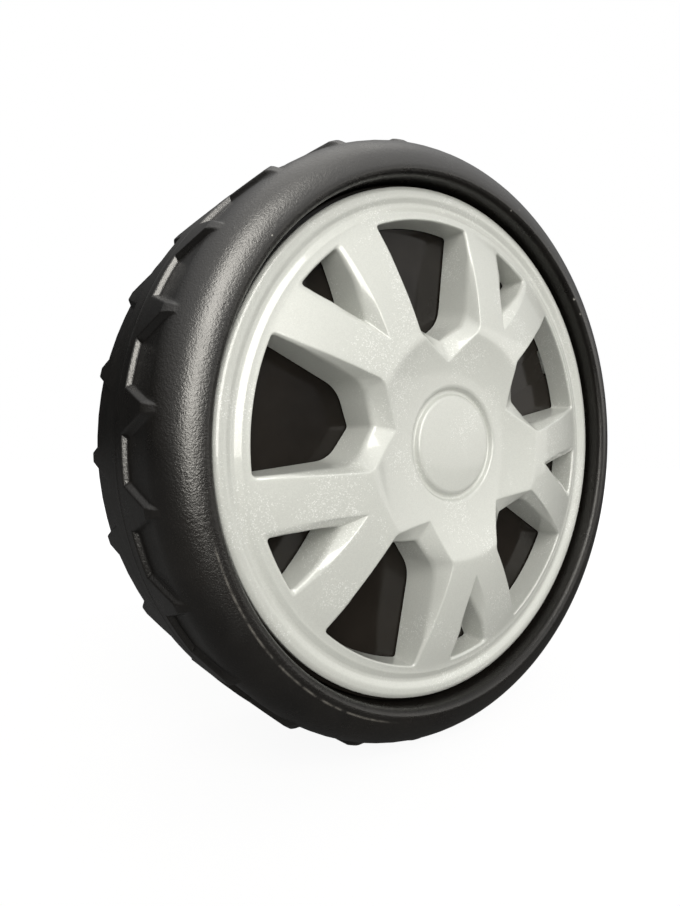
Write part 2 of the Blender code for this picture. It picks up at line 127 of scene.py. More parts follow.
def softLine(corners, steps, share):  # corners are (radius, y, softness), open, with sharp ends
    points = [Vector(corners[0][:2])]
    for i in range(1, len(corners)):
        radius, y, soft = corners[i]
        here = Vector((radius, y))
        if soft == 0:
            points.append(here)
            continue
        before = points[-1] - here
        after = Vector(corners[i + 1][:2]) - here
        start = here + before.normalized() * min(soft, share * before.length)
        end = here + after.normalized() * min(soft, share * after.length)
        points += [start] + bend(start, here, end, steps)
    return points


def prism(side, angle, halfWidth):  # side is corners of (radius, y), the width runs across the radius
    bm = bmesh.new()
    along = around(1.0, angle, 0.0)
    across = around(1.0, angle + pi / 2, 0.0) * halfWidth
    ends = []
    for s in (-1, 1):
        ends.append([bm.verts.new(along * radius + across * s + Vector((0, y, 0))) for radius, y in side])
    for i in range(len(side)):
        j = (i + 1) % len(side)
        bm.faces.new((ends[0][i], ends[0][j], ends[1][j], ends[1][i]))
    bm.faces.new(ends[0])
    bm.faces.new(list(reversed(ends[1])))
    return bm


def finishedPiece(name, bm, finish, crease=plainCrease):
    bmesh.ops.remove_doubles(bm, verts=bm.verts, dist=weldGap)
    bmesh.ops.dissolve_degenerate(bm, edges=bm.edges, dist=1e-7)
    bmesh.ops.recalc_face_normals(bm, faces=bm.faces)
    mesh = bpy.data.meshes.new(name)
    bm.to_mesh(mesh)
    bm.free()
    piece = bpy.data.objects.new(name, mesh)
    bpy.context.collection.objects.link(piece)
    mesh.materials.append(finish)
    mesh.shade_smooth()
    mesh.set_sharp_from_angle(angle=radians(crease))
    return piece


def fit(piece, body, nodes):
    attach(piece, body)
    if nodes:
        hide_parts(*nodes)


def addNode(tree, kind, inputs=None, **settings):  # an input is a plain value or another node's socket
    node = tree.nodes.new(kind)
    for key, value in settings.items():
        setattr(node, key, value)
    for label, value in (inputs or {}).items():
        if isinstance(value, bpy.types.NodeSocket):
            tree.links.new(value, node.inputs[label])
        else:
            node.inputs[label].default_value = value
    return node


def calculated(tree, operation, first, second):
    return addNode(tree, "ShaderNodeMath", {0: first, 1: second}, operation=operation).outputs[0]


# Geometry Nodes tree that spins copies of a segment round the Y axis

def spinTree():
    tree = bpy.data.node_groups.new("copiesRoundTheAxle", "GeometryNodeTree")
    kinds = {"Segment": "Geometry", "Copies": "Int", "Weld": "Float", "Finish": "Material"}
    names = {}
    for label, kind in kinds.items():
        socket = tree.interface.new_socket(label, in_out="INPUT", socket_type="NodeSocket" + kind)
        names[label] = socket.identifier
    tree.interface.new_socket("Ring", in_out="OUTPUT", socket_type="NodeSocketGeometry")

    def made(kind, inputs):
        return addNode(tree, kind, inputs).outputs[0]

    given = addNode(tree, "NodeGroupInput").outputs
    pitch = calculated(tree, "DIVIDE", 2 * pi, given["Copies"])
    turn = calculated(tree, "MULTIPLY", pitch, made("GeometryNodeInputIndex", {}))
    rotation = made("FunctionNodeEulerToRotation", {0: made("ShaderNodeCombineXYZ", {"Y": turn})})
    points = made("GeometryNodePoints", {"Count": given["Copies"]})
    copies = made("GeometryNodeInstanceOnPoints",
                  {"Points": points, "Instance": given["Segment"], "Rotation": rotation})
    real = made("GeometryNodeRealizeInstances", {0: copies})
    weld = made("GeometryNodeMergeByDistance", {0: real, "Distance": given["Weld"]})
    paint = made("GeometryNodeSetMaterial", {0: weld, "Material": given["Finish"]})
    addNode(tree, "NodeGroupOutput", {0: paint})
    return tree, names


axleTree, axleInputs = spinTree()


def spunPiece(name, bm, copies, finish, crease=plainCrease):
    bmesh.ops.remove_doubles(bm, verts=bm.verts, dist=weldGap)
    mesh = bpy.data.meshes.new(name + "Segment")
    bm.to_mesh(mesh)
    bm.free()
    segment = bpy.data.objects.new(name + "Segment", mesh)
    bpy.context.collection.objects.link(segment)
    spin = segment.modifiers.new("spin", "NODES")
    spin.node_group = axleTree
    spin[axleInputs["Copies"]] = copies
    spin[axleInputs["Weld"]] = weldGap
    spin[axleInputs["Finish"]] = finish
    evaluated = segment.evaluated_get(bpy.context.evaluated_depsgraph_get())
    whole = bpy.data.meshes.new_from_object(evaluated)
    segment.modifiers.remove(spin)
    bpy.data.objects.remove(segment)
    ring = bmesh.new()
    ring.from_mesh(whole)
    bpy.data.meshes.remove(whole)
    return finishedPiece(name, ring, finish, crease)


# Materials

def newMaterial(name, colour, roughness, metallic=0.0, **extras):
    material = bpy.data.materials.new(name)
    material.use_nodes = True
    tree = material.node_tree
    shader = tree.nodes["Principled BSDF"].inputs
    values = {"Base_Color": (*colour, 1.0), "Roughness": roughness, "Metallic": metallic, **extras}
    for label, value in values.items():
        shader[label.replace("_", " ")].default_value = value
    return material, tree, shader, addNode(tree, "ShaderNodeTexCoord").outputs["Object"]


def noise(tree, place, scale, detail=3.0, roughness=0.5, stretch=None):
    if stretch:
        place = addNode(tree, "ShaderNodeMapping", {"Vector": place, "Scale": stretch}).outputs["Vector"]
    inputs = {"Vector": place, "Scale": scale, "Detail": detail, "Roughness": roughness}
    return addNode(tree, "ShaderNodeTexNoise", inputs).outputs["Fac"]


def ramp(tree, source, stops):
    node = addNode(tree, "ShaderNodeValToRGB", {"Fac": source})
    points = node.color_ramp.elements
    while len(points) < len(stops):
        points.new(0.5)
    for point, (position, colour) in zip(points, stops):
        point.position = position
        point.color = (*colour, 1.0)
    return node.outputs["Color"]


def ranged(tree, source, low, high, start=0.3, end=0.7, blend="LINEAR"):
    inputs = {"Value": source, "From Min": start, "From Max": end, "To Min": low, "To Max": high}
    return addNode(tree, "ShaderNodeMapRange", inputs, interpolation_type=blend).outputs["Result"]


def bump(tree, height, strength, distance, under=None):
    inputs = {"Height": height, "Strength": strength, "Distance": distance}
    if under:
        inputs["Normal"] = under
    return addNode(tree, "ShaderNodeBump", inputs).outputs["Normal"]


def spot(tree, place, centre, reach):  # 1 at a point of the piece, 0 from the reach on
    centre = [value * mm for value in centre]
    gap = addNode(tree, "ShaderNodeVectorMath", {0: place, 1: centre}, operation="DISTANCE")
    return ranged(tree, gap.outputs["Value"], 1.0, 0.0, reach * 0.3 * mm, reach * mm)


def blended(tree, fac, first, second):  # second is a plain colour
    return addNode(tree, "ShaderNodeMix", {0: fac, 6: first, 7: (*second, 1.0)}, data_type="RGBA").outputs[2]


# In each look: a scale of a noise, a range of values, or a bump's strength and distance in metres

def tyreRubber():
    look = {
        "dark": (0.0028, 0.0023, 0.0019), "light": (0.0080, 0.0068, 0.0056), "patches": 45,
        "lip": (76.6 * mm, 79.4 * mm), "lipShine": (0.16, 0.5), "polish": 160, "gloss": (0.26, 0.34),
        "pits": 1300, "pitBump": (0.65, 0.00014), "grain": 2600, "grainBump": (0.45, 0.00008),
        "scuff": (0.34, 0.33, 0.30), "ragged": 1400, "paintedHighlight": (0.130, 0.122, 0.108), "highlightShare": 0.8,
        "streakRadius": 79.6 * mm, "streakWidth": (0.05 * mm, 0.38 * mm), "streakAngle": radians(226),
        "streakSpan": (68.5 * mm, 72.5 * mm), "streakDepth": (-28.5 * mm, -28.0 * mm), "streakBreaks": 420,
    }
    # Points on the sidewall with their reach, in mm
    scuffs = ((23.27, -29.92, 73.82, 0.4), (27.36, -29.81, 75.18, 0.5), (49.26, -29.81, 63.04, 0.4),
              (58.08, -29.94, 51.39, 0.6), (61.93, -29.94, 46.67, 0.5), (-62.61, -29.96, 48.04, 0.35))
    material, tree, shader, place = newMaterial("tyreRubber", look["dark"], 0.30, IOR=1.9,
                                                Specular_Tint=(1.0, 0.985, 0.955, 1.0))
    link = tree.links.new
    patches = noise(tree, place, look["patches"], 5.0, 0.6)
    colour = ramp(tree, patches, ((0.3, look["dark"]), (0.75, look["light"])))
    marks = 0.0
    for *centre, reach in scuffs:
        marks = calculated(tree, "MAXIMUM", marks, spot(tree, place, centre, reach))
    ragged = ranged(tree, noise(tree, place, look["ragged"], 2.0), 0.0, 1.0, 0.42, 0.56)
    colour = blended(tree, calculated(tree, "MULTIPLY", marks, ragged), colour, look["scuff"])
    axes = addNode(tree, "ShaderNodeSeparateXYZ", {0: place}).outputs
    flat = addNode(tree, "ShaderNodeCombineXYZ", {"X": axes["X"], "Z": axes["Z"]}).outputs[0]
    radius = addNode(tree, "ShaderNodeVectorMath", {0: flat}, operation="LENGTH").outputs["Value"]
    link(ranged(tree, radius, *look["lipShine"], *look["lip"]), shader["Specular IOR Level"])
    # A thin painted highlight along the lower-left sidewall: a lighter colour line that stands in for the
    # lamp's reflection, broken up by noise
    offset = calculated(tree, "ABSOLUTE", calculated(tree, "SUBTRACT", radius, look["streakRadius"]), 0.0)
    towards = around(1.0, look["streakAngle"], 0.0)
    along = addNode(tree, "ShaderNodeVectorMath", {0: flat, 1: towards}, operation="DOT_PRODUCT")
    streak = ranged(tree, offset, look["highlightShare"], 0.0, *look["streakWidth"])
    for part in (ranged(tree, along.outputs["Value"], 0.0, 1.0, *look["streakSpan"]),
                 ranged(tree, axes["Y"], 1.0, 0.0, *look["streakDepth"]),
                 ranged(tree, noise(tree, place, look["streakBreaks"], 3.0), 0.05, 1.0, 0.38, 0.62)):
        streak = calculated(tree, "MULTIPLY", streak, part)
    link(blended(tree, streak, colour, look["paintedHighlight"]), shader["Base Color"])
    link(ranged(tree, noise(tree, place, look["polish"], 4.0), *look["gloss"]), shader["Roughness"])
    coarse = bump(tree, noise(tree, place, look["pits"], 3.0, 0.6), *look["pitBump"])
    grain = noise(tree, place, look["grain"], 2.0)
    link(bump(tree, grain, *look["grainBump"], coarse), shader["Normal"])
    return material


def silverPaint():
    look = {"pale": (0.578, 0.590, 0.552), "deep": (0.530, 0.541, 0.508), "paintedGlint": (0.72, 0.73, 0.70),
            "flake": 4000, "flakeBump": (0.30, 0.00004), "clouds": 60, "cloudShare": (0.80, 1.06),
            "gloss": (0.36, 0.50), "peel": 420, "peelBump": (0.10, 0.00015)}
    material, tree, shader, place = newMaterial("silverPaint", look["pale"], 0.38, 0.10, Coat_Weight=0.85,
                                                Coat_Roughness=0.05)
    link = tree.links.new
    flakes = addNode(tree, "ShaderNodeTexVoronoi", {"Vector": place, "Scale": look["flake"]})
    tone = addNode(tree, "ShaderNodeSeparateColor", {"Color": flakes.outputs["Color"]}).outputs
    cloud = ranged(tree, noise(tree, place, look["clouds"], 3.0), *look["cloudShare"], 0.42, 0.62)
    # Flake cells vary the paint's tone at random; the palest cells are painted glints, colour that stands in
    # for sparkles of light on the flakes
    toneAndPaintedGlints = calculated(tree, "MULTIPLY", tone["Red"], cloud)
    stops = ((0.0, look["deep"]), (0.87, look["pale"]), (0.94, look["paintedGlint"]))
    link(ramp(tree, toneAndPaintedGlints, stops), shader["Base Color"])
    link(ranged(tree, tone["Green"], *look["gloss"], 0.0, 1.0), shader["Roughness"])
    link(bump(tree, noise(tree, place, look["peel"], 2.0), *look["peelBump"]), shader["Coat Normal"])
    link(bump(tree, tone["Blue"], *look["flakeBump"]), shader["Normal"])
    return material


def blackPlastic():
    look = {"deep": (0.0085, 0.0070, 0.0056), "brown": (0.0160, 0.0132, 0.0106), "patches": 30,
            "rear": (0.042, 0.040, 0.037), "polishedTo": -16.5 * mm, "matt": 0.30, "polish": 220,
            "gloss": (0.08, 0.16), "waves": 90, "waveBump": (0.05, 0.0003)}
    material, tree, shader, place = newMaterial("blackPlastic", look["deep"], 0.12, Specular_IOR_Level=0.18)
    link = tree.links.new
    patches = noise(tree, place, look["patches"], 4.0)
    colour = ramp(tree, patches, ((0.3, look["deep"]), (0.7, look["brown"])))
    depth = addNode(tree, "ShaderNodeSeparateXYZ", {0: place}).outputs["Y"]
    behind = ranged(tree, depth, 0.0, 1.0, look["polishedTo"], look["polishedTo"] + mm)
    # Behind the web the plastic is rougher and painted lighter; the lighter colour is painted light, so the
    # unlit back still reads
    link(blended(tree, behind, colour, look["rear"]), shader["Base Color"])
    gloss = ranged(tree, noise(tree, place, look["polish"], 5.0), *look["gloss"])
    rougher = calculated(tree, "MULTIPLY", behind, look["matt"])
    link(calculated(tree, "ADD", gloss, rougher), shader["Roughness"])
    link(bump(tree, noise(tree, place, look["waves"], 2.0), *look["waveBump"]), shader["Normal"])
    return material


def metal(name, colour, roughness, streaks):  # streaks is the scale of the marks left by turning
    look = {"darker": 0.82, "polished": 0.8, "duller": 1.3, "stretch": (1.0, 12.0, 1.0),
            "streakBump": (0.05, 0.00005)}
    material, tree, shader, place = newMaterial(name, colour, roughness, 1.0)
    link = tree.links.new
    lines = noise(tree, place, streaks, 4.0, 0.6, look["stretch"])
    darker = [channel * look["darker"] for channel in colour]
    link(ramp(tree, lines, ((0.3, darker), (0.7, colour))), shader["Base Color"])
    link(ranged(tree, lines, roughness * look["polished"], roughness * look["duller"]), shader["Roughness"])
    link(bump(tree, lines, *look["streakBump"]), shader["Normal"])
    return material


def cageNylon():
    look = {"plain": (0.52, 0.46, 0.34), "deep": (0.46, 0.40, 0.29), "pale": (0.56, 0.50, 0.38),
            "mottle": 300, "grain": 1500, "grainBump": (0.15, 0.00006)}
    material, tree, shader, place = newMaterial("cageNylon", look["plain"], 0.5)
    link = tree.links.new
    mottle = noise(tree, place, look["mottle"], 3.0)
    link(ramp(tree, mottle, ((0.3, look["deep"]), (0.7, look["pale"]))), shader["Base Color"])
    link(bump(tree, noise(tree, place, look["grain"], 2.0), *look["grainBump"]), shader["Normal"])
    return material


rubber = tyreRubber()
silver = silverPaint()
black = blackPlastic()
ringSteel = metal("ringSteel", (0.60, 0.60, 0.61), 0.24, 700)
shieldSteel = metal("shieldSteel", (0.52, 0.53, 0.54), 0.30, 400)
ballSteel = metal("ballSteel", (0.74, 0.74, 0.75), 0.08, 300)
zinc = metal("zincPlate", (0.66, 0.65, 0.59), 0.34, 500)
nylon = cageNylon()
print("materials ready")


# Tyre: one lug of each row, spun round

tyrePlan = {
    "treadRadius": 89.92 * mm, "width": 60.0 * mm, "lugs": 24, "lugHeight": 1.5 * mm,
    "lugTopWidth": 10.4 * mm, "flankWidth": 1.6 * mm, "pointWidth": 2.2 * mm,
    "topReach": 19.5 * mm, "footReach": 23.6 * mm, "pointHeight": 1.46 * mm, "pointSoftness": 0.6 * mm,
    "pointBulge": 0.3 * mm, "staggerReach": 6.0 * mm, "ribHalf": 6.5 * mm, "ribWall": 0.9 * mm,
    "shoulderRadius": 10.5 * mm, "sideStart": 0.3 * mm, "lipRadius": 2.0 * mm,
    "flangeWall": 76.3 * mm, "flangeHalf": 25.0 * mm, "seatRadius": 71.3 * mm, "seatHalf": 19.7 * mm,
    "seatEdge": 0.4 * mm, "flangeEdge": 0.5 * mm, "keyTop": 73.8 * mm, "keyHalf": 3.3 * mm,
    "partingReach": -1.7 * mm, "partingHeight": 0.07 * mm, "partingWidth": 0.22 * mm,
}


def tyreSegment(plan):
    floor = plan["treadRadius"] - plan["lugHeight"]
    crest = floor - plan["shoulderRadius"]
    shoulder = plan["width"] / 2 - plan["shoulderRadius"]
    pitch = 2 * pi / plan["lugs"]
    across = [0.0, 0.4, 0.75, 0.95, 1.08, 1.2, 1.35, 1.5, 1.65, 1.8, 1.92, 2.08, 2.4, 3.0]
    half = len(across) - 1
    columns = 2 * half

    def carcass(reach):
        past = max(0.0, reach - shoulder)
        return crest + sqrt(plan["shoulderRadius"] ** 2 - past ** 2)

    rampStart = plan["ribHalf"] + plan["ribWall"]
    pointTop = carcass(plan["topReach"]) + plan["pointHeight"]
    foot = carcass(plan["footReach"])

    def lugTop(reach):
        part = max(0.0, (reach - rampStart) / (plan["topReach"] - rampStart))
        rise = plan["treadRadius"] + (pointTop - plan["treadRadius"]) * part ** 2
        down = (reach - plan["topReach"]) / (plan["footReach"] - plan["topReach"])
        fall = pointTop + (foot - pointTop) * down + 4 * plan["pointBulge"] * max(0.0, down * (1 - down))
        past = reach - plan["topReach"] + plan["pointSoftness"]
        blend = softStep(past / (2 * plan["pointSoftness"]), 0.5)
        return rise * (1 - blend) + fall * blend

    def halfWidths(reach):  # of the lug's top and foot
        top, point = plan["lugTopWidth"] / 2, plan["pointWidth"] / 2
        flank = plan["flankWidth"]
        if reach <= plan["topReach"]:
            part = max(0.0, (reach - rampStart) / (plan["topReach"] - rampStart))
            return top + (point - top) * part, top + (point - top) * part + flank
        part = (reach - plan["topReach"]) / (plan["footReach"] - plan["topReach"])
        share = 1 - min(1.0, part) / 2
        return point * share, (point + flank) * share

    def angleOf(step, topHalf, footHalf, radius):
        if step <= 1:
            return step * topHalf / radius
        if step <= 2:
            return (topHalf + (step - 1) * (footHalf - topHalf)) / radius
        return footHalf / radius + (step - 2) * (pitch / 2 - footHalf / radius)

    def frontColumn(column, place):
        return place(across[column]) if column <= half else pitch - place(across[columns - column])

    def rearColumn(column, place):
        if column < half:
            return pitch / 2 - place(across[half - column])
        return pitch / 2 + place(across[column - half])

    def treadRow(y):
        reach = abs(y)
        widths = halfWidths(reach)
        ribHeight = 1 - softStep((reach - plan["ribHalf"]) / plan["ribWall"], 0.35)
        bottom, top = carcass(reach), lugTop(reach)
        ridge = max(0.0, 1 - abs(y - plan["partingReach"]) / plan["partingWidth"]) * plan["partingHeight"]
        side = max(0.0, min(1.0, (y + plan["staggerReach"]) / (2 * plan["staggerReach"])))
        row = []
        for column in range(columns + 1):
            place = lambda step: angleOf(step, *widths, plan["treadRadius"])
            angle = frontColumn(column, place) * (1 - side) + rearColumn(column, place) * side
            fromLug = column if y < 0 else column - half
            step = across[min(abs(fromLug), columns - abs(fromLug))]
            lugHeight = (1 - softStep(step - 1, 0.35)) * max(0.0, top - bottom)
            height = max(lugHeight, ribHeight * plan["lugHeight"])
            row.append(around(bottom + height + ridge, firstLug + angle, y))
        return row

    def plainRow(radius, y, even):  # even runs from 0, the lug's columns, to 1, equal columns
        widths = halfWidths(plan["footReach"])
        row = []
        for column in range(columns + 1):
            place = lambda step: angleOf(step, *widths, plan["treadRadius"])
            angle = frontColumn(column, place) if y < 0 else rearColumn(column, place)
            angle += (pitch * column / columns - angle) * even
            row.append(around(radius, firstLug + angle, y))
        return row

    parting = [plan["partingReach"] + plan["partingWidth"] * k for k in (-1.0, -0.35, 0.0, 0.35, 1.0)]
    reaches = (3.6, 5.0, 6.2, 6.5, 6.66, 6.8, 6.95, 7.1, 7.25, 7.4, 7.9, 9.0, 10.4, 11.8, 13.2, 14.6, 16.0,
               17.2, 18.1, 18.7, 19.0, 19.25, 19.5, 19.75, 20.0, 20.3, 20.8, 21.4, 22.0, 22.6, 23.1, 23.5)
    reaches = [reach * mm for reach in reaches]
    treadStations = [-reach for reach in reversed(reaches)] + parting + [0.0, 1.8 * mm] + reaches

    big, small, flange = plan["shoulderRadius"], plan["lipRadius"], plan["flangeWall"]
    start = degrees(asin((plan["footReach"] + plan["sideStart"] - shoulder) / big))
    turns = [radians(start + (90 - start) * i / 13) for i in range(14)]
    side = [(crest + big * cos(t), shoulder + big * sin(t)) for t in turns]
    lip = plan["width"] / 2 - small
    for t in [radians(angle) for angle in (14, 28, 42, 56, 70, 80, 90)]:
        side.append((flange + small * (1 - sin(t)), lip + small * cos(t)))
    seat, seatHalf, key = plan["seatRadius"], plan["seatHalf"], plan["keyHalf"]
    side += [(flange, plan["flangeHalf"]), (flange, seatHalf + plan["flangeEdge"]),
             (flange - plan["flangeEdge"], seatHalf), (seat + plan["seatEdge"], seatHalf),
             (seat, seatHalf - plan["seatEdge"]), (seat, key), (plan["keyTop"], key)]
    rows = []
    for sign in (-1, 1):
        wall = []
        for i, (radius, reach) in enumerate(side):
            wall.append(plainRow(radius, sign * reach, min(1.0, i / 9)))
        rows.append(wall)
    bm = bmesh.new()
    tread = [treadRow(y) for y in treadStations]
    addStrips(bm, list(reversed(rows[0])) + tread + rows[1], closeRows=True)
    return bm


tyre = spunPiece("tyre_skin", tyreSegment(tyrePlan), tyrePlan["lugs"], rubber, crease=50.0)
fit(tyre, "wheel", ["tyre"])
print("tyre ready")


# Hub cap: half a spoke's sector, mirrored and spun round

capPlan = {
    "spokes": 5, "face": -25.0 * mm, "outerRadius": 74.8 * mm, "foot": -17.8 * mm, "skin": 2.2 * mm,
    "wall": 1.65 * mm, "grooveRadius": 17.1 * mm, "grooveRise": 4.2 * mm, "tipRadius": 24.3 * mm,
    "tipRise": 5.3 * mm, "crestRadius": 33.5 * mm, "crestRise": 7.85 * mm, "crestSoftness": 0.7 * mm,
    "ridgeRadius": 66.8 * mm, "ringRise": 0.4 * mm, "armCurve": 1.6, "bevelRise": 3.0 * mm,
    "bevelDrop": 0.6 * mm, "bevelSkin": 1.5 * mm, "edgeSoftness": 0.45 * mm, "coveSoftness": 1.3 * mm,
    "skirtRadius": 67.6 * mm, "skirtInner": 65.8 * mm, "skirtFront": -22.8 * mm,
    "socketRadius": 18.8 * mm, "socketOuter": 20.6 * mm, "socketTop": -26.4 * mm,
    "meshSize": 0.95 * mm, "fineSteps": 48, "coarseSteps": 24,
}
# Corners of the ring's bead and of the middle disc: radius, rise above the face and softness, in mm
bead = ((67.6, 0.40, 0.3), (69.3, -0.48, 0.4), (70.2, -0.44, 0.4), (71.9, 0.46, 0.8), (73.6, 0.44, 0.7),
        (74.8, -0.30, 0.45))
disc = ((16.75, 3.95, 0.2), (16.2, 2.75, 0.4), (15.1, 2.75, 0.4), (14.4, 4.0, 0.35), (13.7, 4.25, 0.3),
        (11.0, 4.42, 0), (7.0, 4.54, 0), (3.0, 4.59, 0), (0.0, 4.6, 0))
# Window corners from the inner tip outwards: radius in mm, degrees from the middle, softness in mm
smallWindow = {
    "face": ((39.3, 0.0, 0.7), (52.3, 6.5, 8.0), (65.7, 8.1, 1.4)),
    "bevel": ((46.0, 0.0, 1.0), (55.6, 4.8, 6.5), (65.0, 6.8, 1.3)),
    "foot": ((48.0, 0.0, 1.0), (56.8, 4.4, 6.0), (64.8, 6.2, 1.1)),
}
largeWindow = {
    "face": ((24.3, 0.0, 0.8), (34.8, 20.3, 1.6), (65.6, 15.9, 1.4)),
    "bevel": ((30.7, 0.0, 0.9), (37.1, 17.0, 3.6), (65.3, 15.5, 1.3)),
    "foot": ((31.6, 0.0, 0.9), (38.2, 15.0, 4.2), (65.0, 15.1, 1.1)),
}


def faceRise(radius, plan=capPlan):
    def raw(r):
        if r < plan["crestRadius"]:
            near = plan["tipRadius"] - plan["grooveRadius"]
            far = plan["crestRadius"] - plan["grooveRadius"]
            slopeNear = (plan["tipRise"] - plan["grooveRise"]) / near
            slopeFar = (plan["crestRise"] - plan["grooveRise"]) / far
            curve = (slopeFar - slopeNear) / (far - near)
            x = r - plan["grooveRadius"]
            return plan["grooveRise"] + (slopeNear - curve * near) * x + curve * x * x
        part = min(1.0, (r - plan["crestRadius"]) / (plan["ridgeRadius"] - plan["crestRadius"]))
        return plan["crestRise"] + (plan["ringRise"] - plan["crestRise"]) * part ** plan["armCurve"]
    soft = plan["crestSoftness"]
    return (raw(radius - soft) + 2 * raw(radius) + raw(radius + soft)) / 4


def faceY(radius):
    return capPlan["face"] - faceRise(radius)


def halfLoop(corners, straightSteps=10, roundSteps=8, arcSteps=16):  # flat points, tip to outer middle
    points = [Vector((r * mm * sin(radians(a)), r * mm * cos(radians(a)))) for r, a, _ in corners]
    softs = [soft * mm for _, _, soft in corners]
    outerRadius, outerAngle = corners[-1][0] * mm, radians(corners[-1][1])
    leave = points[0] + (points[1] - points[0]).normalized() * softs[0]
    tip = bend(Vector((-leave.x, leave.y)), points[0], leave, 2 * (roundSteps // 2))
    loop = tip[roundSteps // 2 - 1:]
    for i in range(1, len(points)):
        start = points[i] + (points[i - 1] - points[i]).normalized() * softs[i]
        if i + 1 < len(points):
            end = points[i] + (points[i + 1] - points[i]).normalized() * softs[i]
        else:
            turned = outerAngle - softs[i] / outerRadius
            end = Vector((outerRadius * sin(turned), outerRadius * cos(turned)))
        before = loop[-1]
        loop += [before + (start - before) * k / straightSteps for k in range(1, straightSteps + 1)]
        loop += bend(start, points[i], end, roundSteps)
    first = outerAngle - softs[-1] / outerRadius
    for k in range(1, arcSteps + 1):
        angle = first * (1 - k / arcSteps)
        loop.append(Vector((outerRadius * sin(angle), outerRadius * cos(angle))))
    return loop


def offsetLoop(loop, distance):  # outwards from the window
    result = []
    last = len(loop) - 1
    for i, point in enumerate(loop):
        before = loop[i - 1] if i > 0 else Vector((-loop[1].x, loop[1].y))
        after = loop[i + 1] if i < last else Vector((-loop[last - 1].x, loop[last - 1].y))
        along = (after - before).normalized()
        result.append(point + Vector((along.y, -along.x)) * distance)
    return result


def toSector(point, large):  # a window's own frame to the sector's, where the small window's middle is 0
    if not large:
        return point
    angle = 2 * pi / capPlan["spokes"] / 2
    radius, own = point.length, Vector((0, 1)).angle_signed(point)
    return Vector((radius * sin(angle - own), radius * cos(angle - own)))


def lift(points, height):  # flat points to 3D, height is a number or a function of the radius
    return [Vector((p.x, height(p.length) if callable(height) else height, p.y)) for p in points]


def windowRows(window, large):
    plan = capPlan
    loops = {level: halfLoop(corners) for level, corners in window.items()}
    edge = offsetLoop(loops["face"], plan["edgeSoftness"])
    columns = []
    for outer, face, bevel, foot in zip(edge, loops["face"], loops["bevel"], loops["foot"]):
        outer, face, bevel, foot = (toSector(p, large) for p in (outer, face, bevel, foot))
        a = lift([outer], faceY)[0]
        b = lift([face], faceY)[0]
        bevelY = max(plan["face"] - plan["bevelRise"], faceY(bevel.length) + plan["bevelDrop"])
        c = lift([bevel], bevelY)[0]
        d = lift([foot], plan["foot"])[0]
        slope = c - b
        drop = d - c
        soft = min(0.4, plan["edgeSoftness"] / slope.length)
        cove = min(0.45 * slope.length, plan["coveSoftness"])
        coveStart = c - slope.normalized() * cove
        coveEnd = c + drop.normalized() * cove
        column = [a] + bend(a, b, b + slope * soft, 5)
        column += [(column[-1] + coveStart) / 2, coveStart] + bend(coveStart, c, coveEnd, 6)
        column += [coveEnd + (d - coveEnd) * k / 3 for k in (1, 2, 3)]
        columns.append(column)
    rows = [list(row) for row in zip(*columns)]
    return rows, edge, loops["foot"]


def fillRegion(bm, outline, height, size=None):  # a flat outline filled with triangles and lifted
    points = list(outline)
    if size:
        low = min(p.length for p in outline)
        high = max(p.length for p in outline)
        sector = pi / capPlan["spokes"]
        ring = low + size * 0.8
        while ring < high - size * 0.5:
            count = max(2, round(ring * sector / size))
            for k in range(count + 1):
                angle = sector * k / count
                candidate = Vector((ring * sin(angle), ring * cos(angle)))
                if insideBy(candidate, outline, size * 0.55):
                    points.append(candidate)
            ring += size
    count = len(outline)
    made, _, faces, _, _, _ = delaunay_2d_cdt(points, [], [list(range(count))], 1, 1e-9)
    verts = [bm.verts.new(p) for p in lift(made, height)]
    for face in faces:
        bm.faces.new([verts[i] for i in face])


def insideBy(point, outline, margin):
    inside = False
    count = len(outline)
    for i in range(count):
        a, b = outline[i], outline[(i + 1) % count]
        if (a.y > point.y) != (b.y > point.y):
            if point.x < a.x + (b.x - a.x) * (point.y - a.y) / (b.y - a.y):
                inside = not inside
        along = b - a
        t = max(0.0, min(1.0, (point - a).dot(along) / max(along.length_squared, 1e-18)))
        if (point - a - along * t).length_squared < margin * margin:
            return False
    return inside


def arcPoints(radius, start, end, steps):
    angles = [start + (end - start) * k / steps for k in range(steps + 1)]
    return [Vector((radius * sin(a), radius * cos(a))) for a in angles]


def spaced(start, end, size):  # points between two ends, without them
    steps = max(1, round((end - start).length / size))
    return [start + (end - start) * k / steps for k in range(1, steps)]


def upTo(loop, radius):  # the start of a loop, cut where it reaches a radius
    kept = []
    for a, b in zip(loop, loop[1:]):
        kept.append(a)
        if b.length >= radius:
            low, high = 0.0, 1.0
            for _ in range(40):
                middle = (low + high) / 2
                if (a + (b - a) * middle).length < radius:
                    low = middle
                else:
                    high = middle
            kept.append(a + (b - a) * high)
            return kept
    return kept


